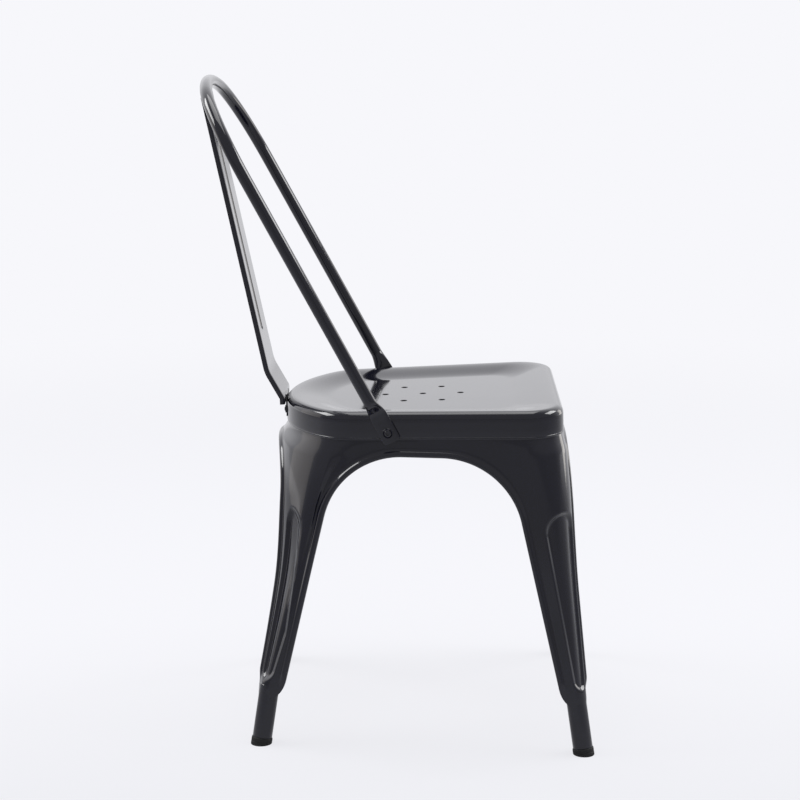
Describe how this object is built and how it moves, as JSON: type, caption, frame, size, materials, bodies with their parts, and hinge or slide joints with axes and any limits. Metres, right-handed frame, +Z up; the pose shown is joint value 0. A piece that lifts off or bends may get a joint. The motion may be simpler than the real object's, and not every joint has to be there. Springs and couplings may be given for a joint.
{
  "type": "bistro chair",
  "caption": "Stacking bistro chair of pressed sheet steel with a dished drain-hole seat, flared fluted legs, a bent tube back hoop and a flat splat.",
  "frame": {"origin": "middle of the chair's bounding box on the floor", "axes": "+Z up, the chair faces -Y, +X to the sitter's left"},
  "size_m": [0.4338, 0.5114, 0.8552],
  "materials": {
    "painted_steel": "gloss black powder coat",
    "painted_fastener": "gloss black",
    "zinc_steel": "bright zinc plating",
    "rubber_glide": "matt black rubber"
  },
  "bodies": {
    "root": {"seat_pan": "painted_steel", "leg_front_left": "painted_steel", "leg_front_right": "painted_steel", "leg_rear_left": "painted_steel", "leg_rear_right": "painted_steel", "glide_front_left": "rubber_glide", "glide_front_right": "rubber_glide", "glide_rear_left": "rubber_glide", "glide_rear_right": "rubber_glide", "back_hoop": "painted_steel", "back_splat": "painted_steel", "hoop_bolts": "painted_fastener", "hoop_washers": "zinc_steel", "hoop_nuts": "zinc_steel", "splat_bolts": "painted_fastener", "splat_nuts": "zinc_steel", "brace_bar_upper": "painted_steel", "brace_bar_lower": "painted_steel", "brace_rivet": "painted_fastener"}
  },
  "joints": []
}
